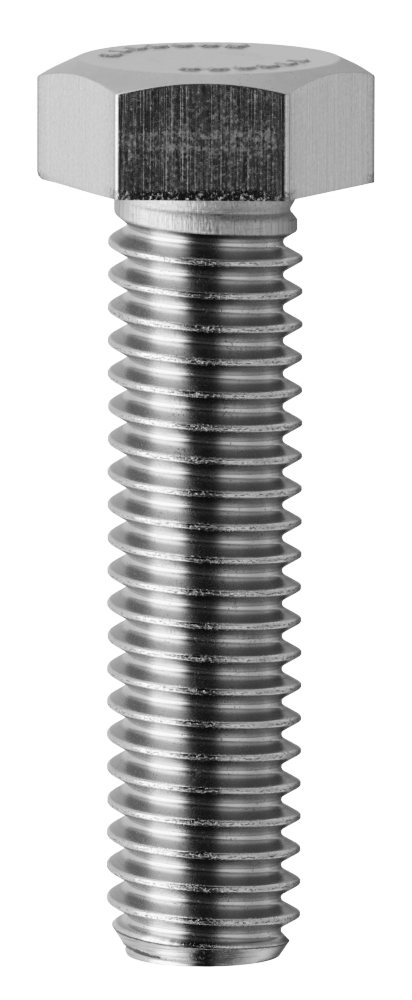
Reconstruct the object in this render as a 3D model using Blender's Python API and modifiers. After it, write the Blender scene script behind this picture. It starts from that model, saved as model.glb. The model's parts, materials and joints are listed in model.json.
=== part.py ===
"""Hex bolt with a coarse rolled thread along almost the whole shank.

The bolt is one solid piece of steel: head, neck and shank are forged from one length of wire and
the thread is rolled into the shank, so there is one object here.

Frame: the bolt stands on its point. Z is the axis, z = 0 is the end face, the head is on top,
two of the head's flats face -Y and +Y, and two of its corners lie on the X axis.
"""

import math

import bmesh
import bpy
from mathutils import Matrix

# Thread
PITCH = 0.0015875
MAJOR_DIAMETER = 0.00926
CREST_FLAT = 0.00019
ROOT_ROUND = 0.000272  # radius of the arc that joins the two flanks
FLANK_HALF_ANGLE = math.radians(30)
THREAD_HAND = -1  # -1 is a left-hand helix, +1 a right-hand one
FIRST_CREST_HEIGHT = 0.000372  # centre of the lowest crest where it crosses the +X side

# Shank, from the bearing face of the head down to the point
LENGTH_UNDER_HEAD = 0.03745
NECK_BELOW_CREST = 0.00026  # the neck is this much smaller in radius than the thread
NECK_LENGTH = 0.0022
NECK_TAPER_LENGTH = 0.0009
HEAD_FILLET = 0.0004
RUNOUT_TURNS = 1.0  # the groove fades out over this much of its last turn
RUNOUT_END_ANGLE = math.radians(-165)  # where it ends, counter-clockwise from +X
RUNOUT_BELOW_HEAD = 0.0006  # least distance from the bearing face to the middle of its end
POINT_ANGLE = math.radians(32)  # between the point's cone and the axis
POINT_BELOW_ROOT = 0.00004  # the end face is this much smaller in radius than the thread's root

# Head
ACROSS_FLATS = 0.0140
HEAD_HEIGHT = 0.00588
HEAD_TOP_INSET = 0.0008  # from the middle of a flat in to the circle where the chamfer starts
HEAD_CHAMFER_ANGLE = math.radians(25.5)  # between the chamfer and the top

# Raised pads on the top, plain bars in two arcs
PAD_ARCS = ((122, 7, 16.5), (-57, 6, 16))  # middle angle, number of pads, angle between them
PAD_LENGTH = 0.0013  # along the radius
PAD_WIDTH = 0.0007
PAD_HEIGHT = 0.00012
PAD_SUNK = 0.0003
PAD_FROM_EDGE = 0.00115  # from a pad's outer end to the circle where the chamfer starts

# Dish in the middle of the top
DISH_INSIDE_PADS = 0.00065  # from a pad's inner end to the dish's edge
DISH_DEPTH = 0.00012
DISH_WALL = 0.0006  # width of the slope round the dish

# Mesh fineness
TURN_STEPS = 24  # a multiple of 6, so that the head's six sides come out alike
FILLET_STEPS = 4
ROOT_STEPS = 2

# How far cutters reach past the surfaces that they cut
CUTTER_MARGIN = 0.0005
GROOVE_MARGIN = 0.00005  # less than half of the crest flat, so that the groove's turns stay apart

# What follows from the sizes above
TOP = LENGTH_UNDER_HEAD + HEAD_HEIGHT
CORNER_RADIUS = ACROSS_FLATS / 2 / math.cos(math.pi / 6)
HEAD_TOP_RADIUS = ACROSS_FLATS / 2 - HEAD_TOP_INSET
PAD_RADIUS = HEAD_TOP_RADIUS - PAD_FROM_EDGE - PAD_LENGTH / 2
DISH_RADIUS = PAD_RADIUS - PAD_LENGTH / 2 - DISH_INSIDE_PADS
MAJOR_RADIUS = MAJOR_DIAMETER / 2
NECK_RADIUS = MAJOR_RADIUS - NECK_BELOW_CREST
FLANK_SLOPE = math.tan(FLANK_HALF_ANGLE)
GROOVE_HALF_WIDTH = (PITCH - CREST_FLAT) / 2  # at the crests
VERTEX_RADIUS = MAJOR_RADIUS - GROOVE_HALF_WIDTH / FLANK_SLOPE  # where the flanks would meet
ROOT_CENTRE_RADIUS = VERTEX_RADIUS + ROOT_ROUND / math.sin(FLANK_HALF_ANGLE)
ROOT_RADIUS = ROOT_CENTRE_RADIUS - ROOT_ROUND
END_RADIUS = ROOT_RADIUS - POINT_BELOW_ROOT
POINT_LENGTH = (MAJOR_RADIUS - END_RADIUS) / math.tan(POINT_ANGLE)


def clear_scene():
    for old in list(bpy.data.objects):
        bpy.data.objects.remove(old, do_unlink=True)


def new_collection(name):
    collection = bpy.data.collections.new(name)
    bpy.context.scene.collection.children.link(collection)
    return collection


def new_object(name, mesh, collection):
    obj = bpy.data.objects.new(name, mesh)
    collection.objects.link(obj)
    return obj


def new_material(name, colour, roughness, metallic):
    material = bpy.data.materials.new(name)
    material.use_nodes = True
    shader = material.node_tree.nodes["Principled BSDF"]
    shader.inputs["Base Color"].default_value = (*colour, 1)
    shader.inputs["Roughness"].default_value = roughness
    shader.inputs["Metallic"].default_value = metallic
    return material


def make_cutter(obj):
    obj.hide_render = True
    obj.display_type = "WIRE"
    return obj


def chain_mesh(name, points, angle, closed):
    """A mesh of edges through the (radius, height) points in their order, at an angle from +X."""
    count = len(points)
    edges = [(i, (i + 1) % count) for i in range(count if closed else count - 1)]
    across, along = math.cos(angle), math.sin(angle)
    mesh = bpy.data.meshes.new(name)
    mesh.from_pydata([(radius * across, radius * along, z) for radius, z in points], edges, [])
    return mesh


def arc(centre, radius, start, end, steps):
    """Points round the centre, from the start angle to the end angle, both included."""
    angles = [start + (end - start) * i / steps for i in range(steps + 1)]
    return [(centre[0] + radius * math.cos(a), centre[1] + radius * math.sin(a)) for a in angles]


def blank_profile():
    """Outline of the turned blank, from the top's centre down its outer side to the end face."""
    head_radius = CORNER_RADIUS + CUTTER_MARGIN
    chamfer_drop = (head_radius - HEAD_TOP_RADIUS) * math.tan(HEAD_CHAMFER_ANGLE)
    fillet_centre = (NECK_RADIUS + HEAD_FILLET, LENGTH_UNDER_HEAD - HEAD_FILLET)
    neck_end = LENGTH_UNDER_HEAD - NECK_LENGTH
    top = [
        (0, TOP - DISH_DEPTH),
        (DISH_RADIUS - DISH_WALL, TOP - DISH_DEPTH),
        (DISH_RADIUS, TOP),
        (HEAD_TOP_RADIUS, TOP),
        (head_radius, TOP - chamfer_drop),
        (head_radius, LENGTH_UNDER_HEAD),
    ]
    fillet = arc(fillet_centre, HEAD_FILLET, math.pi / 2, math.pi, FILLET_STEPS)
    shank = [
        (NECK_RADIUS, neck_end),
        (MAJOR_RADIUS, neck_end - NECK_TAPER_LENGTH),
        (MAJOR_RADIUS, POINT_LENGTH),
        (END_RADIUS, 0),
        (0, 0),
    ]
    return top + fillet + shank


def groove_profile():
    """Closed outline of the thread groove, centred on z = 0, open side outwards."""
    turn = math.pi / 2 - FLANK_HALF_ANGLE
    root = arc((ROOT_CENTRE_RADIUS, 0), ROOT_ROUND, math.pi - turn, math.pi + turn, ROOT_STEPS)
    mouth_radius = MAJOR_RADIUS + GROOVE_MARGIN
    mouth_half_width = GROOVE_HALF_WIDTH + GROOVE_MARGIN * FLANK_SLOPE
    outer_radius = MAJOR_RADIUS + CUTTER_MARGIN
    upper = [(outer_radius, mouth_half_width), (mouth_radius, mouth_half_width)]
    lower = [(mouth_radius, -mouth_half_width), (outer_radius, -mouth_half_width)]
    return upper + root + lower


def turn_round(obj, angle, rise, steps):
    """Sweeps the object's edges round Z with a Screw modifier, rising by the given amount."""
    screw = obj.modifiers.new("Turn", "SCREW")
    screw.axis = "Z"
    screw.angle = angle
    screw.screw_offset = rise
    screw.steps = steps
    screw.render_steps = steps
    screw.use_merge_vertices = rise == 0
    screw.merge_threshold = 0.00001
    screw.use_smooth_shade = True
    return screw


def make_groove_cutter(collection):
    """The helical groove as one closed solid, rising from below the point to the neck."""
    start_height = FIRST_CREST_HEIGHT - 1.5 * PITCH  # between two crests, clear of the end face
    groove_top = LENGTH_UNDER_HEAD - RUNOUT_BELOW_HEAD
    end_turn = (THREAD_HAND * RUNOUT_END_ANGLE / math.tau) % 1
    turns = math.floor((groove_top - start_height) / PITCH - end_turn) + end_turn
    steps = round(turns * TURN_STEPS)
    turns = steps / TURN_STEPS

    profile = groove_profile()
    profile = [(radius, start_height + height) for radius, height in profile]
    guide = new_object("groove_guide", chain_mesh("groove_guide", profile, 0, True), collection)
    turn_round(guide, THREAD_HAND * turns * math.tau, turns * PITCH, steps)
    bpy.context.view_layer.update()
    swept = guide.evaluated_get(bpy.context.evaluated_depsgraph_get())
    mesh = bpy.data.meshes.new_from_object(swept)
    bpy.data.objects.remove(guide)

    # Each step of the sweep is one ring of the profile's points, in order from the bottom up.
    lift = NECK_RADIUS - ROOT_RADIUS + GROOVE_MARGIN
    fade_steps = RUNOUT_TURNS * TURN_STEPS
    for index, vertex in enumerate(mesh.vertices):
        before_end = steps - index // len(profile)
        radius = math.hypot(vertex.co.x, vertex.co.y)
        outwards = lift * max(0, 1 - before_end / fade_steps)
        vertex.co.xy *= (radius + outwards) / radius

    shape = bmesh.new()
    shape.from_mesh(mesh)
    bmesh.ops.holes_fill(shape, edges=[edge for edge in shape.edges if edge.is_boundary])
    bmesh.ops.recalc_face_normals(shape, faces=shape.faces)
    shape.to_mesh(mesh)
    shape.free()
    return make_cutter(new_object("thread_groove", mesh, collection))


def make_flats_cutter(collection):
    """A hexagonal prism past both ends of the bolt: what is common to it and the blank stays."""
    length = TOP + 2 * CUTTER_MARGIN
    shape = bmesh.new()
    bmesh.ops.create_cone(
        shape,
        cap_ends=True,
        segments=6,
        radius1=CORNER_RADIUS,
        radius2=CORNER_RADIUS,
        depth=length,
        matrix=Matrix.Translation((0, 0, TOP / 2)) @ Matrix.Rotation(math.pi / 2, 4, "Z"),
    )
    mesh = bpy.data.meshes.new("wrench_flats")
    shape.to_mesh(mesh)
    shape.free()
    return make_cutter(new_object("wrench_flats", mesh, collection))


def make_pads(collection):
    """The raised bars of the head's top, each sunk into it so that a union joins them."""
    shape = bmesh.new()
    size = Matrix.Diagonal((PAD_LENGTH, PAD_WIDTH, PAD_HEIGHT + PAD_SUNK, 1))
    middle = TOP + (PAD_HEIGHT - PAD_SUNK) / 2
    for arc_middle, count, spacing in PAD_ARCS:
        for number in range(count):
            angle = math.radians(arc_middle + spacing * (number - (count - 1) / 2))
            place = Matrix.Translation((PAD_RADIUS, 0, middle))
            bmesh.ops.create_cube(shape, matrix=Matrix.Rotation(angle, 4, "Z") @ place @ size)
    mesh = bpy.data.meshes.new("head_pads")
    shape.to_mesh(mesh)
    shape.free()
    return make_cutter(new_object("head_pads", mesh, collection))


def add_boolean(obj, operation, other):
    boolean = obj.modifiers.new(other.name, "BOOLEAN")
    boolean.operation = operation
    boolean.object = other
    boolean.solver = "EXACT"


def make_bolt(parts, cutters):
    # Half a step round, so that the blank's edges fall between the corners and the groove's rings.
    outline = chain_mesh("hex_bolt", blank_profile(), math.pi / TURN_STEPS, False)
    bolt = new_object("hex_bolt", outline, parts)
    bolt.data.materials.append(new_material("bright_steel", (0.60, 0.60, 0.61), 0.32, 1))
    turn_round(bolt, math.tau, 0, TURN_STEPS)
    add_boolean(bolt, "INTERSECT", make_flats_cutter(cutters))
    add_boolean(bolt, "UNION", make_pads(cutters))
    add_boolean(bolt, "DIFFERENCE", make_groove_cutter(cutters))
    return bolt


def main():
    clear_scene()
    parts = new_collection("hex_bolt_parts")
    cutters = new_collection("cutters")
    make_bolt(parts, cutters)


main()
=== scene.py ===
import json
import math

import bmesh
import bpy
import numpy as np
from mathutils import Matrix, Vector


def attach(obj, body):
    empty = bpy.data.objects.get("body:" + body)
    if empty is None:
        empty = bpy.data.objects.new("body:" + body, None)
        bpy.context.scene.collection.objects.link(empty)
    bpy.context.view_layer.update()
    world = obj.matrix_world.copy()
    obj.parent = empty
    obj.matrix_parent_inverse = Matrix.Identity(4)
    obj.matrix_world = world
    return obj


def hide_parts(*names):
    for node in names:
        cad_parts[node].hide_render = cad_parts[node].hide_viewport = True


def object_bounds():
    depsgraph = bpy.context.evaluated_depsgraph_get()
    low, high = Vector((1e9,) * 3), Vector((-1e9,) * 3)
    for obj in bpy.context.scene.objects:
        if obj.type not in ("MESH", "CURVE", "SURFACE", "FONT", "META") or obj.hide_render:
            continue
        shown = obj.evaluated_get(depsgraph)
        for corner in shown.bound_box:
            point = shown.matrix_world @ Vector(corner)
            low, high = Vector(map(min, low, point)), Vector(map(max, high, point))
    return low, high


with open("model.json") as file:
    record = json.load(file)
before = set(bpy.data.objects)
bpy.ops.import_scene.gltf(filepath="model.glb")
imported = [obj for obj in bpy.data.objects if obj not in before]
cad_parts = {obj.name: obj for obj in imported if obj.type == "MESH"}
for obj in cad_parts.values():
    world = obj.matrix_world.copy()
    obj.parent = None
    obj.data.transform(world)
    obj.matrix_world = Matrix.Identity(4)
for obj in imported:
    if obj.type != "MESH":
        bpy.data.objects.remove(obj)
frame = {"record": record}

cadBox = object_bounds()
mounts = {mount["name"]: mount for mount in frame["record"]["mounts"]}

mm = 0.001               # every size below is in millimetres, and meshes are made in metres
turn = 2 * math.pi
hexStep = turn / 6

headBottom = mounts["bearing_face"]["pos_m"][2] / mm
headFlatRadius = math.hypot(*mounts["wrench_flat_1"]["pos_m"][:2]) / mm
objectTop = cadBox[1].z / mm

print("frame loaded, head from", round(headBottom, 2), "to", round(objectTop, 2), "mm")


# thread, neck and point; a pair of numbers says where something starts and where it is complete
thread = {
    "pitch": 1.5875,
    "firstCrest": 0.372,      # height of the lowest crest where it crosses the +X side
    "crestRadius": 4.655,
    "crestFlat": 0.23,
    "crestSoftness": 0.12,    # how wide the rounding of a crest's corners is
    "crestGrows": (0.85, 1.55),       # turns below the groove's end
    "crestWander": 0.02,      # slow unevenness of the crests' radius
    "wanderGrows": (0.8, 1.4),
    "rootRound": 0.25,
    "flankAngle": math.radians(30),
    "neckRadius": 4.37,
    "runoutHeight": 36.82,    # where the groove's middle ends, a little under the head
    "runoutPower": 0.85,      # how the groove's depth fades over its last turn
    "runoutRise": 0.04,       # how far past the neck's radius it is lifted
    "runoutTaper": 0.6,       # rise of the long cone above the last turn, radius over height
    "runoutSoftness": 0.05,   # rounding of that cone's foot
    "upperFlankGrows": (0.5, 1.4),    # turns below the end where that cone turns into a flank
    "endRadius": 3.70,
    "pointSlope": 0.64,       # radius gained per millimetre up from the end face
    "pointOffCentre": 0.10,
    "pointTrueSide": 0.8,     # cosine of the angle from +X where the point keeps its radius
    "pointLeanHeight": 0.8,   # the point is fully off-centre from this height up
    "pointRound": 0.06,
    "lipHeight": 0.06,        # ragged lip where the point's cone cuts the thread
    "lipWidth": 0.14,
    "lipGrows": (0.2, 0.5),   # heights above the end face
    "rimMark": 0.40,          # how far the mark along that line reaches, in radius
    "seamDepth": 0.020,       # the lap that rolling leaves along the middle of a crest
    "seamWidth": 0.05,
    "seamGrows": (1.0, 1.7),
}

head = {
    "topHeight": 5.88,
    "topRadius": 6.23,        # circle where the chamfer starts
    "topSag": 0.012,
    "chamferAngle": math.radians(25.6),
    "chamferOffCentre": (0.14, 0.07),
    "cornerRound": 0.17,      # between two sides
    "bottomRound": 0.06,
    "bottomWear": 7.0,        # how much rounder the bottom edge is at the -X corner
    "bottomWearPower": 12,    # how fast that wear gives out away from the corner
    "burrDrop": 0.08,         # the trimmed edge hangs this far below the bearing face
    "topRound": 0.05,
    "fillet": 0.4,
    "dishRadius": 3.1,
    "dishDepth": 0.11,
    "dishWall": 0.9,
    "barCircle": 4.6,
    "barLength": 1.05,
    "barWidth": 0.98,
    "barHeight": 0.12,
    "barSide": (0.82, 1.08),  # shares of a bar's reach between which its side falls
    "barArcs": ((122, 7, 16.5), (-57, 6, 16)),   # middle angle, how many, angle between them
    "barMark": 0.28,          # how far the mark along a bar's edge reaches, in shares of its reach
}

grid = {
    "columns": 216,           # a multiple of 6, so that a column lies on each corner of the head
    "cornerCrowding": 0.6,    # 0 spreads the columns evenly, near 1 gathers them at the corners
    "endRows": (0, 0.25, 0.5, 0.7, 0.85, 0.94, 0.985),     # shares of the end face's radius
    "crestRows": (0.0, 0.065, 0.13, 0.20, 0.29, 0.577, 0.66, 0.73),   # from a crest to a root
    "filletGap": 0.05,        # the thread's rows stop this far below the fillet
    "filletRows": 6,
    "undersideRows": (0.2, 0.5, 0.75, 0.9, 1),             # shares of the way out to the side
    "edgeRows": 4,
    "sideRows": (0.04, 0.1, 0.2, 0.35, 0.5, 0.65, 0.8, 0.92, 0.985),      # shares of its height
    "upperEdgeRow": (0.02, 0.01),     # how far inwards and down from the sides' upper edge
    "chamferRows": (0.985, 0.9, 0.8, 0.7, 0.6, 0.5, 0.4, 0.3, 0.2, 0.12, 0.06),
    "rimRows": (0.0, 0.08, 0.25, 0.5),   # distances inside the circle where the chamfer starts
    "barRows": (5.36, 3.86, 19),         # radii of the outermost and innermost, and how many
    "dishRows": (3.6, 3.3, 3.0, 2.8, 2.6, 2.4, 2.2, 2.0, 1.5, 1.0, 0.5, 0.0),       # radii
    "weldDistance": 0.002,
}

# the zones that the rows run through, from the end face up to the middle of the head's top
endZone, shankZone, filletZone, undersideZone, sideZone, edgeZone, topZone = range(7)


def smoothStep(low, high, x):
    # 0 below low, 1 above high, and 3t^2 - 2t^3 between them
    t = np.clip((x - low) / (high - low), 0, 1)
    return t * t * (3 - 2 * t)


def softMin(a, b, width):
    # the lesser of a and b, with their corner rounded over the given width
    h = np.clip(0.5 + 0.5 * (b - a) / width, 0, 1)
    return b * (1 - h) + a * h - width * h * (1 - h)


def latticeValue(ix, iy, iz, seed):
    # a fixed pseudo-random number from 0 to 1 for each lattice point: the digits far behind the
    # point in the sine of a sum of its coordinates
    wave = np.sin(ix * 127.1 + iy * 311.7 + iz * 74.7 + seed * 53.3) * 43758.5453
    return wave - np.floor(wave)


def noise(x, y, z, seed):
    # value noise: the eight lattice values round a point, blended with smoothed weights, -1 to 1
    cx, cy, cz = np.floor(x), np.floor(y), np.floor(z)
    fx, fy, fz = x - cx, y - cy, z - cz
    fx, fy, fz = (f * f * (3 - 2 * f) for f in (fx, fy, fz))
    value = 0
    for dx in (0, 1):
        for dy in (0, 1):
            for dz in (0, 1):
                weight = (fx if dx else 1 - fx) * (fy if dy else 1 - fy) * (fz if dz else 1 - fz)
                value = value + weight * latticeValue(cx + dx, cy + dy, cz + dz, seed)
    return 2 * value - 1


def columnAngles():
    # angle = u - crowding/6 sin(6u) for even steps of u, so that columns gather at the corners
    u = np.arange(grid["columns"] + 1) * turn / grid["columns"]
    return u - grid["cornerCrowding"] / 6 * np.sin(6 * u)


def helixLines(angle, z):
    # heights of the nearest crest and of the middle of the groove at a place: the height in
    # pitches plus the angle in turns is a whole number on a crest, and a half more in a groove
    t = thread
    turns = angle / turn
    phase = (z - t["firstCrest"]) / t["pitch"] + turns
    crest = t["firstCrest"] + t["pitch"] * (np.round(phase) - turns)
    middle = t["firstCrest"] + t["pitch"] * (np.floor(phase) + 0.5 - turns)
    return crest, middle


def turnsBelowEnd(height):
    # how many turns a crest or a groove is below the groove's end
    return (thread["runoutHeight"] - height) / thread["pitch"]


def crestRadiusAt(crest):
    # the neck's radius above the groove's end, growing down the thread to the full crest radius
    t = thread
    growth = smoothStep(*t["crestGrows"], turnsBelowEnd(crest))
    return t["neckRadius"] + (t["crestRadius"] - t["neckRadius"]) * growth


def grooveRadius(distance):
    # a circular arc within the root, then a straight flank at the flank angle
    t = thread
    halfMouth = (t["pitch"] - t["crestFlat"]) / 2
    slope = math.tan(t["flankAngle"])
    centre = t["crestRadius"] - halfMouth / slope + t["rootRound"] / math.sin(t["flankAngle"])
    arcEnd = t["rootRound"] * math.cos(t["flankAngle"])
    inArc = np.minimum(distance, arcEnd)
    arc = centre - np.sqrt(t["rootRound"] ** 2 - inArc ** 2)
    return arc + np.maximum(distance - arcEnd, 0) / slope


def coneRadius(angle, z):
    # the point's cone: its radius grows evenly with height, more on the +X side than on the -X
    # side, as the cone comes to stand off-centre
    t = thread
    leaning = t["pointOffCentre"] * (np.cos(angle) - t["pointTrueSide"])
    leaning = leaning * np.clip(z / t["pointLeanHeight"], 0, 1)
    return t["endRadius"] + t["pointSlope"] * z + leaning


def shankRadius(angle, z, coned=True):
    # radius of the thread, neck and point at an angle (0 to one turn) and a height: the groove's
    # section about its middle line, lifted outwards near its end, then cut off by the crest's
    # radius and by the point's cone
    t = thread
    crest, middle = helixLines(angle, z)
    fromMiddle = z - middle
    belowEnd = turnsBelowEnd(middle)
    crestBelowEnd = turnsBelowEnd(crest)

    rootRadius = grooveRadius(np.zeros(1))[0]
    fade = np.clip(belowEnd, 0, 1) ** t["runoutPower"]
    lift = (1 - fade) * (t["neckRadius"] + t["runoutRise"] - rootRadius) + np.maximum(-belowEnd, 0)
    full = grooveRadius(np.abs(fromMiddle)) + lift
    rise = np.hypot(np.maximum(fromMiddle, 0), t["runoutSoftness"]) - t["runoutSoftness"]
    gentle = rootRadius + lift + t["runoutTaper"] * rise
    above = smoothStep(*t["upperFlankGrows"], belowEnd)
    groove = np.where(fromMiddle > 0, gentle + (full - gentle) * above, full)

    x, y = np.cos(angle), np.sin(angle)
    wander = noise(x * 2.2, y * 2.2, z * 0.9, 3) + 0.5 * noise(x * 7, y * 7, z * 1.3, 4)
    wander = t["crestWander"] * wander * smoothStep(*t["wanderGrows"], crestBelowEnd)
    radius = softMin(groove, crestRadiusAt(crest) + wander, t["crestSoftness"])

    # the seam: a narrow ragged notch along the crest, deeper and shallower by noise
    ragged = noise(x * 16, y * 16, z * 2.2, 7) + 0.25 * noise(x * 37, y * 37, z * 3.1, 8)
    notch = np.clip(1 - np.abs(z - crest) / t["seamWidth"], 0, 1)
    notch = notch * np.clip(0.55 + 0.6 * ragged, 0, 1.2)
    radius = radius - t["seamDepth"] * notch * smoothStep(*t["seamGrows"], crestBelowEnd)
    if not coned:
        return radius

    # the point's cone, with a lip along the line where it meets the thread
    cone = coneRadius(angle, z)
    lip = t["lipHeight"] * (1 - smoothStep(0.0, t["lipWidth"], np.abs(radius - cone)))
    lip = np.maximum(lip * (0.6 + 0.8 * ragged), 0) * smoothStep(*t["lipGrows"], z)
    return softMin(radius, cone, t["pointRound"]) + lip


def threadRows(angles, topHeight):
    # rows that follow the helix: each crest's height falls by a pitch per turn, and the rows
    # beside it keep their distance from it; rows past either end are squeezed onto that end
    t = thread
    half = np.array(grid["crestRows"])
    offsets = np.concatenate([half, [t["pitch"] / 2], t["pitch"] - half[:0:-1]])
    count = math.ceil((topHeight - t["firstCrest"]) / t["pitch"]) + 2
    starts = t["firstCrest"] + t["pitch"] * np.arange(-1, count)
    heights = (starts[:, None] + offsets[None, :]).ravel()
    z = heights[:, None] - t["pitch"] * angles[None, :] / turn
    return np.clip(z, 0, topHeight)


def sideRadius(angle):
    # distance from the axis to the head's side: a regular hexagon whose corners are arcs
    roundness = head["cornerRound"]
    fromCorner = np.abs((angle + hexStep / 2) % hexStep - hexStep / 2)
    straight = headFlatRadius / np.cos(hexStep / 2 - fromCorner)
    centre = (headFlatRadius - roundness) / math.cos(hexStep / 2)
    reach = np.maximum(roundness ** 2 - (centre * np.sin(fromCorner)) ** 2, 0)
    arc = centre * np.cos(fromCorner) + np.sqrt(reach)
    tangent = hexStep / 2 - math.atan(
        (headFlatRadius - roundness) * math.tan(hexStep / 2) / headFlatRadius)
    return np.where(fromCorner < tangent, arc, straight)


def barReach(x, y):
    # how far out of the nearest bar a point is: a rounded box, (|a|^3 + |b|^3)^(1/3) of its
    # distances along and across the bar in half lengths and half widths, 1 on the bar's edge
    h = head
    nearest = np.full_like(x, 9.0)
    for middle, count, spacing in h["barArcs"]:
        for number in range(count):
            a = math.radians(middle + spacing * (number - (count - 1) / 2))
            along = (x * math.cos(a) + y * math.sin(a) - h["barCircle"]) / (h["barLength"] / 2)
            across = (y * math.cos(a) - x * math.sin(a)) / (h["barWidth"] / 2)
            inside = (np.abs(along) ** 3 + np.abs(across) ** 3) ** (1 / 3)
            nearest = np.minimum(nearest, inside)
    return nearest


def topHeightAt(x, y):
    # height of the head's top at a point: flat, with a shallow dish in the middle, rounded bars
    # round it, and a cone off-centre that cuts down its rim
    h = head
    plain = headBottom + h["topHeight"]
    r = np.hypot(x, y)
    dish = h["dishDepth"] * (1 - smoothStep(h["dishRadius"] - h["dishWall"], h["dishRadius"], r))
    bars = h["barHeight"] * (1 - smoothStep(*h["barSide"], barReach(x, y)))
    ex, ey = h["chamferOffCentre"]
    cone = plain - (np.hypot(x - ex, y - ey) - h["topRadius"]) * math.tan(h["chamferAngle"])
    sag = h["topSag"] * noise(x * 0.5, y * 0.5, 0 * x, 11)
    return softMin(plain - dish + sag + bars, cone + 0.5 * sag, h["topRound"])


def boltRows(angles):
    # every row of the bolt from the middle of the end face up to the middle of the head's top,
    # as (x, y, z) arrays, and the zone that each row starts
    h = head
    t = thread
    c, s = np.cos(angles), np.sin(angles)
    level = np.ones_like(angles)
    rows = []
    zones = []

    def add(zone, radius, z):
        # one row round the axis, of a radius and a height that may change with the angle
        rows.append(np.stack([radius * c, radius * s, z * level], axis=-1))
        zones.append(zone)

    # the end face, then the point, thread and neck
    rim = shankRadius(angles, 0 * angles)
    for share in grid["endRows"]:
        add(endZone, rim * share, 0.0)
    z = threadRows(angles, headBottom - h["fillet"] - grid["filletGap"])
    radius = shankRadius(np.broadcast_to(angles, z.shape), z)
    for rowRadius, rowHeight in zip(radius, z):
        add(shankZone, rowRadius, rowHeight)

    # the fillet: a quarter circle, whose foot goes over from the last row to the neck's radius
    last = radius[-1]
    for share in np.linspace(0, 1, grid["filletRows"]):
        bend = share * math.pi / 2
        foot = last + (t["neckRadius"] - last) * min(1, share * 3)
        out = h["fillet"] * (1 - math.cos(bend))
        add(filletZone, foot + out, headBottom - h["fillet"] * (1 - math.sin(bend)))

    # the underside, bent down towards the trimmed edge, and the edge, a quarter circle
    side = sideRadius(angles)
    inner = t["neckRadius"] + h["fillet"]
    wear = h["bottomWear"] * (0.5 - 0.5 * c) ** h["bottomWearPower"]
    bottom = h["bottomRound"] * (1 + wear)
    burrLevel = headBottom - h["burrDrop"]
    for share in grid["undersideRows"]:
        drop = h["burrDrop"] * share ** 3
        add(undersideZone, inner + (side - bottom - inner) * share, headBottom - drop)
    for bend in np.linspace(0, math.pi / 2, grid["edgeRows"])[1:]:
        rise = bottom * (1 - math.cos(bend))
        add(sideZone, side - bottom * (1 - math.sin(bend)), burrLevel + rise)

    # the six sides, up to the chamfer's lower edge
    edge = topHeightAt(side * c, side * s)
    low = burrLevel + bottom
    for share in grid["sideRows"]:
        add(sideZone, side, low + (edge - low) * share)
    inwards, down = grid["upperEdgeRow"]
    add(edgeZone, side - inwards, edge - down)

    # the chamfer, the rim inside its circle, the bars and the dish
    ex, ey = h["chamferOffCentre"]
    circle = h["topRadius"] + ex * c + ey * s
    flatEnd = circle - grid["rimRows"][-1]
    reaches = [circle + (side - circle) * share for share in grid["chamferRows"]]
    reaches += [circle - drop for drop in grid["rimRows"]]
    reaches += [np.minimum(flatEnd, r * level) for r in np.linspace(*grid["barRows"])]
    reaches += [r * level for r in grid["dishRows"]]
    for reach in reaches:
        add(topZone, reach, topHeightAt(reach * c, reach * s))
    return np.stack(rows), np.array(zones)


def edgeMarks(points, zones):
    # 1 along the edge of each bar and along the rim of the point's cone, falling to 0 beside it:
    # by the bar's reach, and by the difference between the uncut thread's radius and the cone's
    x, y, z = points[..., 0], points[..., 1], points[..., 2]
    angle = np.arctan2(y, x) % turn
    byBar = 1 - smoothStep(0.0, head["barMark"], np.abs(barReach(x, y) - 1.0))
    whole = shankRadius(angle, z, coned=False)
    byRim = 1 - smoothStep(0.0, thread["rimMark"], np.abs(whole - coneRadius(angle, z)))
    byRim = byRim * smoothStep(*thread["lipGrows"], z)
    onTop, onShank = zones[:, None] == topZone, zones[:, None] == shankZone
    return np.where(onTop, byBar, np.where(onShank, byRim, 0.0))


def weldedMesh(name, points, finishNumber, marks):
    # the rows joined by quads, each row to the next and each column to the next, then welded at
    # the seam, at the poles and where rows were squeezed together
    rowCount, columnCount = points.shape[:2]
    index = np.arange(rowCount * columnCount).reshape(rowCount, columnCount)
    quads = np.stack([index[:-1, :-1], index[:-1, 1:], index[1:, 1:], index[1:, :-1]], axis=-1)
    mesh = bpy.data.meshes.new(name)
    mesh.from_pydata(points.reshape(-1, 3) * mm, [], quads.reshape(-1, 4))
    mesh.polygons.foreach_set("material_index", finishNumber)
    mesh.attributes.new("edgeMark", "FLOAT", "POINT").data.foreach_set("value", marks.ravel())

    shape = bmesh.new()
    shape.from_mesh(mesh)
    bmesh.ops.remove_doubles(shape, verts=shape.verts, dist=grid["weldDistance"] * mm)
    bmesh.ops.dissolve_degenerate(shape, edges=shape.edges, dist=1e-9)
    shape.to_mesh(mesh)
    shape.free()
    mesh.shade_smooth()
    return mesh


# finishes: every node tree works in millimetres
def addNode(tree, kind, inputs=None, **settings):
    # one node, its settings and its inputs, each input a number or another node's output
    node = tree.nodes.new(kind)
    for name, value in settings.items():
        setattr(node, name, value)
    for name, value in (inputs or {}).items():
        if isinstance(value, bpy.types.NodeSocket):
            tree.links.new(value, node.inputs[name])
        else:
            node.inputs[name].default_value = value
    return node


def calc(tree, operation, *values):
    # one step of arithmetic
    node = addNode(tree, "ShaderNodeMath", dict(enumerate(values)), operation=operation)
    return node.outputs[0]


def total(tree, *values):
    # the sum of the values
    result = values[0]
    for value in values[1:]:
        result = calc(tree, "ADD", result, value)
    return result


def times(tree, *values):
    # the product of the values
    result = values[0]
    for value in values[1:]:
        result = calc(tree, "MULTIPLY", result, value)
    return result


def minus(tree, a, b):
    # a - b
    return calc(tree, "SUBTRACT", a, b)


def apart(tree, a, b):
    # |a - b|
    return calc(tree, "ABSOLUTE", minus(tree, a, b))


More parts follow.
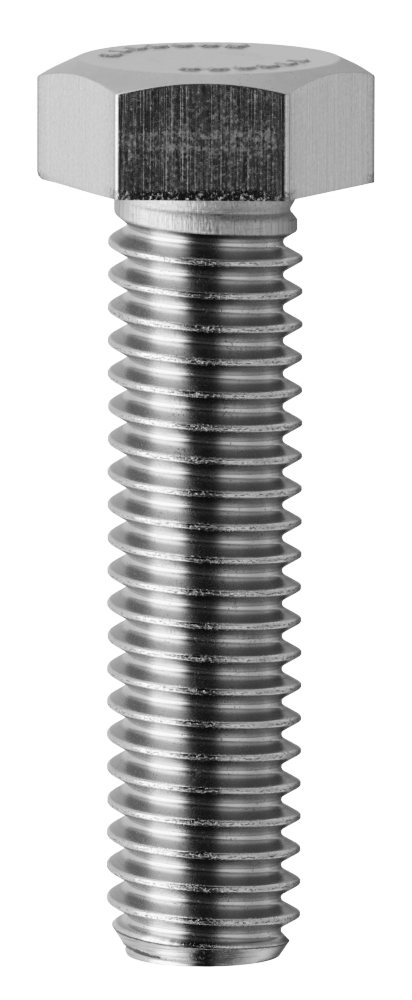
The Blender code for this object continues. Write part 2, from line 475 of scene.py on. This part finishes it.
def scaled(tree, value, factor, offset):
    # value times factor, plus offset
    return calc(tree, "MULTIPLY_ADD", value, factor, offset)


def ramp(tree, value, low, high, start=0.0, end=1.0):
    # start below low, end above high, an S-shaped rise between them
    node = addNode(tree, "ShaderNodeMapRange", {
        "Value": value, "From Min": low, "From Max": high, "To Min": start, "To Max": end,
    }, interpolation_type="SMOOTHSTEP")
    return node.outputs["Result"]


def fall(tree, value, low, high):
    # 1 below low, 0 above high, an S-shaped fall between them
    return ramp(tree, value, low, high, 1.0, 0.0)


def blend(tree, factor, low, high):
    # low where factor is 0, high where it is 1
    node = addNode(tree, "ShaderNodeMix", {"Factor": factor, "A": low, "B": high})
    return node.outputs["Result"]


def grey(tree, value):
    # a colour with the value as its red, green and blue
    node = addNode(tree, "ShaderNodeCombineColor", {"Red": value, "Green": value, "Blue": value})
    return node.outputs["Color"]


def parts(tree, vector):
    # a vector's X, Y and Z
    return addNode(tree, "ShaderNodeSeparateXYZ", {"Vector": vector}).outputs


def stretch(tree, vector, scale):
    # X, Y and Z each times its own factor
    node = addNode(tree, "ShaderNodeVectorMath", {0: vector, 1: scale}, operation="MULTIPLY")
    return node.outputs["Vector"]


def speckle(tree, vector, scale, detail=2.0, roughness=0.5):
    # Blender's noise, from 0 to 1 and mostly near a half
    node = addNode(tree, "ShaderNodeTexNoise", {
        "Vector": vector, "Scale": scale, "Detail": detail, "Roughness": roughness})
    return node.outputs["Fac"]


def edgeMark(tree):
    # the mesh's own mark along the bars' edges and the point's rim
    return addNode(tree, "ShaderNodeAttribute", attribute_name="edgeMark").outputs["Fac"]


def newGroup(name, inputs, outputs):
    # an empty node group, and the places where its inputs come in and its outputs leave
    group = bpy.data.node_groups.new(name, "ShaderNodeTree")
    for label, kind, value in inputs:
        socket = group.interface.new_socket(label, in_out="INPUT", socket_type="NodeSocket" + kind)
        socket.default_value = value
    for label in outputs:
        group.interface.new_socket(label, in_out="OUTPUT", socket_type="NodeSocketFloat")
    return group, group.nodes.new("NodeGroupInput").outputs, group.nodes.new("NodeGroupOutput")


def useGroup(tree, group, inputs):
    # a node group at work in a finish
    return addNode(tree, "ShaderNodeGroup", inputs, node_tree=group).outputs


def makeStreaks():
    # long marks: noise squeezed across the marks and drawn out along them; Height is -1 to 1, and
    # Lines picks out the few deepest
    group, given, made = newGroup("streaks", [
        ("Vector", "Vector", (0, 0, 0)), ("Stretch", "Vector", (1, 1, 1)),
        ("Roughness", "Float", 0.6), ("Line Level", "Float", 0.64)], ["Height", "Lines"])
    place = stretch(group, given["Vector"], given["Stretch"])
    broad = speckle(group, place, 1.0, 5.0, given["Roughness"])
    group.links.new(scaled(group, broad, 2.0, -1.0), made.inputs["Height"])
    other = speckle(group, stretch(group, place, (1.7, 1.7, 1.3)), 1.0, 3.0, 0.6)
    top = calc(group, "ADD", given["Line Level"], 0.06)
    group.links.new(ramp(group, other, given["Line Level"], top), made.inputs["Lines"])
    return group


def makePits():
    # small dark specks: the peaks of a fine noise, gathered where a broad noise is high
    group, given, made = newGroup("pits", [
        ("Vector", "Vector", (0, 0, 0)), ("Scale", "Float", 10.0), ("Level", "Float", 0.62)],
        ["Pits"])
    fine = speckle(group, given["Vector"], given["Scale"], 2.0, 0.6)
    patch = speckle(group, given["Vector"], 0.9, 2.0, 0.5)
    both = scaled(group, patch, 0.35, minus(group, fine, 0.175))
    top = calc(group, "ADD", given["Level"], 0.07)
    group.links.new(ramp(group, both, given["Level"], top), made.inputs["Pits"])
    return group


def makeScratches():
    # thin scattered scratches: narrow bands round the middle level of a noise drawn out one way,
    # kept only where a second noise is high
    group, given, made = newGroup("scratches", [
        ("Vector", "Vector", (0, 0, 0)), ("Turn", "Vector", (0, 0, 0)), ("Length", "Float", 0.3),
        ("Width", "Float", 0.012)], ["Scratches"])
    turned = addNode(group, "ShaderNodeVectorRotate", {
        "Vector": given["Vector"], "Rotation": given["Turn"]}, rotation_type="EULER_XYZ")
    squeeze = addNode(group, "ShaderNodeCombineXYZ", {"X": 5.0, "Y": 5.0, "Z": given["Length"]})
    place = stretch(group, turned.outputs["Vector"], squeeze.outputs["Vector"])
    away = apart(group, speckle(group, place, 1.0, 1.0, 0.4), 0.5)
    line = fall(group, away, 0.0, given["Width"])
    kept = ramp(group, speckle(group, given["Vector"], 0.7, 2.0), 0.5, 0.6)
    group.links.new(times(group, line, kept), made.inputs["Scratches"])
    return group


def makeThreadPlace():
    # height above the nearest crest, negative below it: the height in pitches plus the angle in
    # turns is a whole number on each crest
    group, given, made = newGroup("threadPlace", [
        ("Vector", "Vector", (0, 0, 0)), ("Pitch", "Float", 1.0), ("First Crest", "Float", 0.0)],
        ["Above Crest"])
    xyz = parts(group, given["Vector"])
    angle = calc(group, "DIVIDE", calc(group, "ARCTAN2", xyz["Y"], xyz["X"]), turn)
    height = minus(group, xyz["Z"], given["First Crest"])
    pitches = calc(group, "DIVIDE", height, given["Pitch"])
    phase = calc(group, "FRACT", total(group, pitches, angle, 0.5))
    above = times(group, minus(group, phase, 0.5), given["Pitch"])
    group.links.new(above, made.inputs["Above Crest"])
    return group


def pitted(tree, place, size):
    # the pits on a finish: size is their scale, and the noise level that they start from
    scale, level = size
    return useGroup(tree, pits, {"Vector": place, "Scale": scale, "Level": level})["Pits"]


streaks = makeStreaks()
pits = makePits()
scratches = makeScratches()
threadPlace = makeThreadPlace()


def newFinish(name):
    # a material with its shader, and the place on the bolt in millimetres
    material = bpy.data.materials.new(name)
    material.use_nodes = True
    tree = material.node_tree
    shader = tree.nodes["Principled BSDF"]
    shader.inputs["Metallic"].default_value = 1.0
    place = addNode(tree, "ShaderNodeTexCoord").outputs["Object"]
    place = addNode(tree, "ShaderNodeVectorMath", {0: place, "Scale": 1 / mm}, operation="SCALE")
    return material, tree, shader, place.outputs["Vector"]


def finishWith(tree, shader, tone, roughness, height):
    # a grey of the given tone, the roughness, and bumps whose height is in millimetres
    tree.links.new(grey(tree, tone), shader.inputs["Base Color"])
    tree.links.new(roughness, shader.inputs["Roughness"])
    bump = addNode(tree, "ShaderNodeBump", {"Height": height, "Distance": mm, "Strength": 1.0})
    tree.links.new(bump.outputs["Normal"], shader.inputs["Normal"])


rolled = {
    "crestTone": 0.70,
    # the flanks' lower tone is painted shade, for the light lost between facing flanks
    "flankShadeTone": 0.46,
    "rootTone": 0.70,
    "pitTone": 0.30,
    "seamTone": 0.30,
    "crestRoughness": 0.12,
    "flankRoughness": 0.26,
    "rootRoughness": 0.23,
    "crestEnds": (0.15, 0.22),    # distances from a crest's middle where its finish gives out
    "rootStarts": (0.46, 0.60),   # and where the root's finish comes in
    "rimStarts": (0.45, 0.70),    # edge marks that give the point's rim the crest's finish
    "flankPits": (9.0, 0.64),     # scale, and the noise level that they start from
    "crestPits": (8.5, 0.575),
    "seamWidth": 0.04,
    "seamWander": 0.36,           # how much height the seam wanders through
    "seamOpens": (0.47, 0.58),    # noise levels where the seam opens
    "seamHeight": -0.012,
    "crestGrain": 0.002,
    "crestPitHeight": -0.016,
    "flankGrain": 0.0022,
    "flankPitHeight": -0.003,
}


def makeRolledSteel():
    # flanks and roots burnished by the rolling dies, the flanks darkened by painted shade, crests
    # left rough with a dark seam
    material, tree, shader, place = newFinish("rolledSteel")
    aboveCrest = useGroup(tree, threadPlace, {
        "Vector": place, "Pitch": thread["pitch"],
        "First Crest": thread["firstCrest"]})["Above Crest"]
    fromCrest = calc(tree, "ABSOLUTE", aboveCrest)
    onCrest = calc(tree, "MAXIMUM", fall(tree, fromCrest, *rolled["crestEnds"]),
                   ramp(tree, edgeMark(tree), *rolled["rimStarts"]))
    onRoot = ramp(tree, fromCrest, *rolled["rootStarts"])

    # the seam wanders up and down the crest, and is closed in places
    wobble = speckle(tree, stretch(tree, place, (2.2, 2.2, 0.5)), 1.6, 3.0, 0.6)
    wobble = scaled(tree, wobble, rolled["seamWander"], -rolled["seamWander"] / 2)
    offSeam = calc(tree, "ABSOLUTE", calc(tree, "ADD", aboveCrest, wobble))
    opened = ramp(tree, speckle(tree, place, 4.5, 4.0, 0.75), *rolled["seamOpens"])
    seam = times(tree, fall(tree, offSeam, rolled["seamWidth"] * 0.3, rolled["seamWidth"]),
                 opened, onCrest)
    pit = pitted(tree, place, rolled["flankPits"])
    crestPit = pitted(tree, place, rolled["crestPits"])

    # drag marks that run along the thread
    xyz = parts(tree, place)
    across = scaled(tree, fromCrest, 11.0, times(tree, xyz["Z"], 0.6))
    alongThread = addNode(tree, "ShaderNodeCombineXYZ", {
        "X": times(tree, xyz["X"], 0.15), "Y": times(tree, xyz["Y"], 0.15), "Z": across})
    drag = useGroup(tree, streaks, {"Vector": alongThread.outputs["Vector"], "Roughness": 0.65})

    # flanks darker than roots and crests: painted shade between facing flanks
    tone = blend(tree, onRoot, rolled["flankShadeTone"], rolled["rootTone"])
    tone = blend(tree, onCrest, tone, rolled["crestTone"])
    tone = scaled(tree, drag["Height"], 0.05, tone)
    tone = blend(tree, times(tree, pit, 0.5), tone, rolled["pitTone"])
    tone = blend(tree, seam, tone, rolled["seamTone"])
    roughness = blend(tree, onRoot, rolled["flankRoughness"], rolled["rootRoughness"])
    roughness = blend(tree, onCrest, roughness, rolled["crestRoughness"])
    roughness = total(tree, roughness, times(tree, pit, 0.15), times(tree, seam, 0.08),
                      times(tree, drag["Lines"], 0.08))
    grain = minus(tree, speckle(tree, place, 13.0, 3.0, 0.6), 0.5)
    height = total(tree, times(tree, drag["Height"], rolled["flankGrain"]),
                   times(tree, onCrest, grain, rolled["crestGrain"]),
                   times(tree, seam, rolled["seamHeight"]),
                   times(tree, pit, rolled["flankPitHeight"]),
                   times(tree, crestPit, onCrest, rolled["crestPitHeight"]))
    finishWith(tree, shader, tone, roughness, height)
    return material


drawn = {
    "tone": 0.64,
    "lineTone": 0.32,
    "creaseTone": 0.30,
    "roughness": 0.30,
    "markStretch": (9.5, 9.5, 0.12),     # times X, Y and Z: fine where large, long where small
    "creaseStretch": (0.3, 0.3, 9.0),
    "pits": (8.0, 0.62),
    "markHeight": 0.020,
    "creaseHeight": 0.003,
    "pitHeight": -0.006,
}


def makeDrawnSteel():
    # the wire's own skin on the neck and the half-formed crest, with fine marks up and down it
    # and faint creases round it
    material, tree, shader, place = newFinish("drawnSteel")
    marks = useGroup(tree, streaks, {
        "Vector": place, "Stretch": drawn["markStretch"], "Roughness": 0.75, "Line Level": 0.58})
    creases = useGroup(tree, streaks, {
        "Vector": place, "Stretch": drawn["creaseStretch"], "Roughness": 0.6, "Line Level": 0.60})
    pit = pitted(tree, place, drawn["pits"])
    tone = scaled(tree, marks["Height"], 0.26, drawn["tone"])
    tone = blend(tree, times(tree, marks["Lines"], 0.55), tone, drawn["lineTone"])
    tone = blend(tree, times(tree, creases["Lines"], 0.5), tone, drawn["creaseTone"])
    roughness = scaled(tree, marks["Height"], 0.06, drawn["roughness"])
    height = total(tree, times(tree, marks["Height"], drawn["markHeight"]),
                   times(tree, creases["Height"], drawn["creaseHeight"]),
                   times(tree, pit, drawn["pitHeight"]))
    finishWith(tree, shader, tone, roughness, height)
    return material


cut = {
    "tone": 0.68,
    "lineTone": 0.30,
    "burrTone": 0.12,
    "roughness": 0.16,
    "markStretch": (0.15, 0.15, 6.0),
    "pits": (7.0, 0.60),
    "markHeight": 0.012,
    "pitHeight": -0.001,
    "burrHeight": 0.03,
    "burrStarts": (0.66, 0.90),   # edge mark plus most of a noise, where the burr starts
}


def makeCutSteel():
    # the cropped end and the point's cone, with scratches round them and a dark torn rim
    material, tree, shader, place = newFinish("cutSteel")
    around = useGroup(tree, streaks, {
        "Vector": place, "Stretch": cut["markStretch"], "Roughness": 0.6, "Line Level": 0.58})
    pit = pitted(tree, place, cut["pits"])
    torn = speckle(tree, place, 4.0, 4.0, 0.7)
    burr = ramp(tree, scaled(tree, torn, 0.9, edgeMark(tree)), *cut["burrStarts"])
    tone = scaled(tree, around["Height"], 0.12, cut["tone"])
    tone = blend(tree, times(tree, around["Lines"], 0.5), tone, cut["lineTone"])
    tone = blend(tree, times(tree, burr, 0.8), tone, cut["burrTone"])
    roughness = scaled(tree, pit, 0.12, cut["roughness"])
    height = total(tree, times(tree, around["Height"], cut["markHeight"]),
                   times(tree, pit, cut["pitHeight"]), times(tree, burr, torn, cut["burrHeight"]))
    finishWith(tree, shader, tone, roughness, height)
    return material


forged = {
    "tone": 0.63,
    "pitTone": 0.42,
    "footShadeTone": 0.20,             # painted shade in the corner at the foot of each bar
    "roughness": 0.34,
    "pits": (6.0, 0.64),
    "scratchTurns": ((1.2, 0.4, 0.3), (0.5, 1.3, 2.1)),     # which way the two sets run
    "grainHeight": 0.004,
    "waveHeight": 0.012,
    "scratchHeight": -0.002,
    "pitHeight": -0.004,
}


def makeForgedSteel():
    # the head's top, chamfer and underside: a matt pressed skin with a few scratches
    material, tree, shader, place = newFinish("forgedSteel")
    grain = speckle(tree, place, 9.0, 4.0, 0.65)
    wave = speckle(tree, place, 0.9, 2.0, 0.5)
    pit = pitted(tree, place, forged["pits"])
    first, second = (useGroup(tree, scratches, {"Vector": place, "Turn": way})["Scratches"]
                     for way in forged["scratchTurns"])
    # painted shade in the corner round the foot of each bar, along the bars' edge mark
    foot = times(tree, edgeMark(tree), ramp(tree, grain, 0.30, 0.60), 0.75)
    tone = scaled(tree, wave, 0.10, forged["tone"] - 0.10)
    tone = scaled(tree, grain, 0.10, tone)
    tone = blend(tree, times(tree, pit, 0.5), tone, forged["pitTone"])
    tone = blend(tree, foot, tone, forged["footShadeTone"])
    roughness = scaled(tree, wave, 0.16, forged["roughness"] - 0.08)
    height = total(tree, times(tree, grain, forged["grainHeight"]),
                   times(tree, wave, forged["waveHeight"]),
                   times(tree, first, forged["scratchHeight"]),
                   times(tree, second, forged["scratchHeight"]),
                   times(tree, pit, forged["pitHeight"]))
    finishWith(tree, shader, tone, roughness, height)
    return material


sheared = {
    "tone": 0.83,
    "firstDarker": 0.27,          # how much darker the three sides are that the die strikes first
    "lineTone": 0.10,
    "crushTone": 0.08,
    "roughness": 0.08,
    "dullRoughness": 0.36,
    "broadLineRoughness": 0.12,
    "fineLineRoughness": 0.08,
    "markStretch": (3.6, 3.6, 0.008),
    "fineMarkStretch": (10.0, 10.0, 0.03),
    "mottleScale": 7.5,
    "chipScale": 8.5,
    "markHeight": 0.012,
    "fineMarkHeight": 0.006,
    "mottleHeight": 0.005,
    "beltHeight": 0.004,          # added to the mottle's in the belt
    "beltStarts": (1.2, 2.6),     # heights above the bearing face
    "beltEnds": (3.0, 4.2),
    "crushEnds": (0.52, 0.68),
    "crushHeight": 0.05,
    "lineFromCorner": 0.17,
    "lineWidth": (0.02, 0.06),    # distances from its middle where the line gives out
}


def makeShearedSteel():
    # the head's six sides: drag marks up and down from the trimming die, and on the three that it
    # strikes first also a mottled belt, a crushed bottom and a dark line beside each corner
    material, tree, shader, place = newFinish("shearedSteel")
    xyz = parts(tree, place)
    above = minus(tree, xyz["Z"], headBottom)
    broad = useGroup(tree, streaks, {
        "Vector": place, "Stretch": sheared["markStretch"], "Roughness": 0.75, "Line Level": 0.63})
    fine = useGroup(tree, streaks, {
        "Vector": place, "Stretch": sheared["fineMarkStretch"], "Roughness": 0.7,
        "Line Level": 0.60})
    taller = stretch(tree, place, (1.0, 1.0, 0.8))
    mottle = speckle(tree, taller, sheared["mottleScale"], 3.0, 0.75)
    mottling = minus(tree, mottle, 0.5)
    bands = speckle(tree, stretch(tree, place, (0.25, 0.25, 2.6)), 1.0, 3.0, 0.6)
    angle = calc(tree, "ARCTAN2", xyz["Y"], xyz["X"])
    firstStroke = ramp(tree, calc(tree, "SINE", times(tree, angle, 3.0)), -0.5, 0.5)
    belt = times(tree, ramp(tree, above, *sheared["beltStarts"]),
                 fall(tree, above, *sheared["beltEnds"]), firstStroke)

    # the crushed bottom, with an uneven upper edge and brighter chips in it
    edge = speckle(tree, stretch(tree, place, (0.5, 0.5, 1.0)), 1.2, 2.0)
    crush = times(tree, firstStroke,
                  fall(tree, scaled(tree, edge, 0.4, above), *sheared["crushEnds"]))
    chips = speckle(tree, taller, sheared["chipScale"], 3.0, 0.7)

    # the line beside each corner: the angle's distance from the corner in sixths of a turn,
    # times the length of side that a sixth of a turn sweeps near it
    sixths = calc(tree, "FRACT", scaled(tree, angle, 6 / turn, 0.5))
    swept = hexStep * headFlatRadius / math.cos(hexStep / 2) * 0.93
    fromCorner = times(tree, apart(tree, sixths, 0.5), swept)
    offLine = apart(tree, fromCorner, sheared["lineFromCorner"])
    line = times(tree, fall(tree, offLine, *sheared["lineWidth"]),
                 ramp(tree, mottle, 0.36, 0.5), firstStroke)

    dull = total(tree, times(tree, broad["Height"], 0.45), times(tree, fine["Height"], 0.6),
                 times(tree, belt, ramp(tree, bands, 0.34, 0.62), 0.55),
                 times(tree, mottling, firstStroke, 3.2))
    dull = ramp(tree, dull, -0.4, 1.0)
    tone = scaled(tree, broad["Height"], 0.05, sheared["tone"])
    tone = scaled(tree, fine["Height"], 0.04, tone)
    tone = times(tree, tone, scaled(tree, firstStroke, -sheared["firstDarker"], 1.0))
    tone = scaled(tree, mottling, scaled(tree, firstStroke, 0.5, 0.4), tone)
    tone = blend(tree, times(tree, line, 0.85), tone, sheared["lineTone"])
    tone = blend(tree, times(tree, crush, fall(tree, chips, 0.50, 0.60)), tone,
                 sheared["crushTone"])
    roughness = total(tree, sheared["roughness"], times(tree, dull, sheared["dullRoughness"]),
                      times(tree, broad["Lines"], sheared["broadLineRoughness"]),
                      times(tree, fine["Lines"], sheared["fineLineRoughness"]))
    mottleHeight = scaled(tree, belt, sheared["beltHeight"], sheared["mottleHeight"])
    height = total(tree, times(tree, broad["Height"], sheared["markHeight"]),
                   times(tree, fine["Height"], sheared["fineMarkHeight"]),
                   times(tree, firstStroke, mottle, mottleHeight),
                   times(tree, crush, chips, sheared["crushHeight"]))
    finishWith(tree, shader, tone, roughness, height)
    return material


finishes = [makeRolledSteel(), makeDrawnSteel(), makeCutSteel(), makeForgedSteel(),
            makeShearedSteel()]
rolledIndex, drawnIndex, cutIndex, forgedIndex, shearedIndex = range(len(finishes))
print("finishes ready")


# the bolt itself; the drawn skin's limits are in turns below the groove's end
drawnSkin = {
    "crestTurns": 1.3,        # a crest keeps the skin down to here
    "crestBand": 0.1,         # within this much of its radius
    "grooveTurns": 0.6,       # and so does the whole groove
    "coneTurns": 1.0,         # and the long cone above the groove
    "coneStarts": 0.04,       # from this height above the groove's middle
}


def finishNumbers(points, zones):
    # which finish each face has, from its row's zone and, along the shank, from its own place:
    # the half-formed crest, the groove's end and the long cone above it are drawn, and the faces
    # on the point's cone are cut
    zoneFinish = np.array([cutIndex, rolledIndex, drawnIndex, forgedIndex, shearedIndex,
                           forgedIndex, forgedIndex], np.int32)
    centre = (points[:-1, :-1] + points[1:, :-1] + points[:-1, 1:] + points[1:, 1:]) / 4
    index = np.repeat(zoneFinish[zones[:-1]][:, None], centre.shape[1], axis=1)
    x, y, z = centre[..., 0], centre[..., 1], centre[..., 2]
    radius, angle = np.hypot(x, y), np.arctan2(y, x) % turn
    crest, middle = helixLines(angle, z)
    onShank = zones[:-1, None] == shankZone
    atCrest = radius > crestRadiusAt(crest) - drawnSkin["crestBand"]
    halfFormed = atCrest & (turnsBelowEnd(crest) < drawnSkin["crestTurns"])
    shallow = turnsBelowEnd(middle) < drawnSkin["grooveTurns"]
    onCone = z > middle + drawnSkin["coneStarts"]
    longCone = onCone & (turnsBelowEnd(middle) < drawnSkin["coneTurns"])
    index[onShank & (halfFormed | shallow | longCone)] = drawnIndex
    index[onShank & (radius > coneRadius(angle, z) - thread["pointRound"])] = cutIndex
    return index.ravel()


boltPoints, boltZones = boltRows(columnAngles())
boltMesh = weldedMesh("bolt", boltPoints, finishNumbers(boltPoints, boltZones),
                      edgeMarks(boltPoints, boltZones))
for finish in finishes:
    boltMesh.materials.append(finish)
bolt = bpy.data.objects.new("bolt", boltMesh)
bpy.context.scene.collection.objects.link(bolt)
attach(bolt, "root")
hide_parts("hex_bolt")
print("bolt mesh", len(boltMesh.vertices), "points", len(boltMesh.polygons), "faces")


# camera
view = {
    "distance": 800.0,
    "elevation": math.radians(8.571),
    "turned": math.radians(1.565),       # the bolt's turn about its axis, seen from the camera
    "lookAt": (0.0607, 0.0, 22.018),     # before that turn
    "roll": 0.0028,
    "lens": 602.11,
    "sensorHeight": 36,
    "clip": (0.01, 50),                  # metres
}


def makeCamera():
    # stands at the distance and elevation from the look-at point, both turned about the axis,
    # and rolls about its own line of sight
    cosTurn, sinTurn = math.cos(view["turned"]), math.sin(view["turned"])
    toPart = np.array([[cosTurn, -sinTurn, 0], [sinTurn, cosTurn, 0], [0, 0, 1]])
    e = view["elevation"]
    right = toPart @ np.array([1.0, 0, 0])
    back = toPart @ np.array([0, -math.cos(e), math.sin(e)])
    up = toPart @ np.array([0, math.sin(e), math.cos(e)])
    place = toPart @ np.array(view["lookAt"]) + back * view["distance"]
    cosRoll, sinRoll = math.cos(view["roll"]), math.sin(view["roll"])
    axes = np.eye(4)
    axes[:3, 0] = right * cosRoll + up * sinRoll
    axes[:3, 1] = up * cosRoll - right * sinRoll
    axes[:3, 2] = back
    axes[:3, 3] = place * mm
    data = bpy.data.cameras.new("camera")
    data.sensor_fit = "VERTICAL"
    data.sensor_height = view["sensorHeight"]
    data.lens = view["lens"]
    data.clip_start, data.clip_end = view["clip"]
    camera = bpy.data.objects.new("camera", data)
    bpy.context.scene.collection.objects.link(camera)
    camera.matrix_world = axes.T.tolist()
    bpy.context.scene.camera = camera


# studio: a tent of soft light round the bolt, whose brightness changes with direction only;
# a box is its compass direction seen from the camera (left is negative), half width, soft edge
# and brightness, and a patch is a box with the band of heights, -1 to 1, where it comes in
studio = {
    "dark": 0.09,
    "toneMiddle": 0.4,        # scene brightness that is shown as about half of white
    "toneTop": 1.6,           # and as white, like the floor and the backdrop
    "toneSteps": (0.04, 0.08, 0.14, 0.22, 0.32, 0.44, 0.58, 0.75, 0.95, 1.2, 1.4),
    "floorRadius": 3000.0,
    "floorDrop": 0.02,
    "floorSides": 96,
    "softBoxes": {
        "left": (-58, 28, 18, 1.14),
        "leftGlow": (-85, 38, 40, 0.10),
        "farLeft": (-113, 74, 16, 0.42),
        "right": (70, 48, 16, 0.30),
        "rightGlow": (44, 20, 18, 0.13),
        "rightSide": (124, 16, 22, 0.15),
        "farRight": (146, 26, 20, 0.07),
    },
    "upperBack": ((152, 26, 16, 0.26), (0.08, 0.38)),     # light added above the horizon
    "lowBack": ((150, 36, 20, 0.26), (-0.70, -0.40)),     # and well below it
    "lowFront": ((0, 88, 40, 0.75), (-0.90, -0.78)),      # a share taken away, straight down
    "highFront": ((0, 55, 60, 0.80), (0.25, 0.55)),       # and above the horizon
}


def makeTent():
    # brightness = (dark + the sum over the boxes and the back patches of strength times two soft
    # edges in compass direction) x (1 - the low front share) x (1 - the high front share), and
    # the camera itself sees plain white
    world = bpy.data.worlds.new("studio")
    bpy.context.scene.world = world
    world.use_nodes = True
    tree = world.node_tree
    background = tree.nodes["Background"]
    xyz = parts(tree, addNode(tree, "ShaderNodeTexCoord").outputs["Generated"])
    compass = calc(tree, "ARCTAN2", xyz["X"], times(tree, xyz["Y"], -1.0))

    def box(middle, halfWidth, edge, strength):
        # the strength within the half width of the middle direction, falling off over the edge
        away = minus(tree, compass, math.radians(middle) + view["turned"] + math.pi)
        away = calc(tree, "ABSOLUTE", calc(tree, "WRAP", away, math.pi, -math.pi))
        away = minus(tree, math.pi, away)
        inside = fall(tree, away, math.radians(halfWidth - edge / 2),
                      math.radians(halfWidth + edge / 2))
        return times(tree, inside, strength)

    def patch(name, side):
        # a box that comes in above its band of heights (side is ramp) or below it (fall)
        size, band = studio[name]
        return times(tree, side(tree, xyz["Z"], *band), box(*size))

    boxes = [box(*size) for size in studio["softBoxes"].values()]
    light = total(tree, *boxes, studio["dark"], patch("upperBack", ramp), patch("lowBack", fall))
    light = times(tree, light, minus(tree, 1.0, patch("lowFront", fall)),
                  minus(tree, 1.0, patch("highFront", ramp)))
    seen = addNode(tree, "ShaderNodeLightPath").outputs["Is Camera Ray"]
    tree.links.new(grey(tree, blend(tree, seen, light, studio["toneTop"])),
                   background.inputs["Color"])
    background.inputs["Strength"].default_value = 1.0


def makeFloor():
    # a flat disc just under the end face, white to the camera and not mirrored in the bolt
    sides = studio["floorSides"]
    angles = np.arange(sides) * turn / sides
    ring = np.stack([np.cos(angles), np.sin(angles), 0 * angles], axis=-1)
    points = ring * studio["floorRadius"] * mm - np.array([0, 0, studio["floorDrop"] * mm])
    mesh = bpy.data.meshes.new("floor")
    mesh.from_pydata(points, [], [list(range(sides))])
    floor = bpy.data.objects.new("floor", mesh)
    bpy.context.scene.collection.objects.link(floor)
    floor.visible_glossy = False
    material = bpy.data.materials.new("paleFloor")
    material.use_nodes = True
    tree = material.node_tree
    tree.nodes.remove(tree.nodes["Principled BSDF"])
    glow = addNode(tree, "ShaderNodeEmission", {"Strength": studio["toneTop"]})
    tree.links.new(glow.outputs["Emission"], tree.nodes["Material Output"].inputs["Surface"])
    mesh.materials.append(material)


def setTone():
    # the camera's contrast: x^2 / (x^2 + middle^2), scaled to reach white at the top: steep in the
    # shadows and soft near white
    settings = bpy.context.scene.view_settings
    settings.view_transform = "Standard"
    settings.use_curve_mapping = True
    mapping = settings.curve_mapping
    middle, top = studio["toneMiddle"], studio["toneTop"]
    mapping.white_level = (top, top, top)
    curve = mapping.curves[3]
    scale = 1 + middle ** 2 / top ** 2
    for x in studio["toneSteps"]:
        curve.points.new(x / top, scale * x * x / (x * x + middle * middle))
    mapping.update()


makeCamera()
makeTent()
makeFloor()
setTone()
print("studio ready")
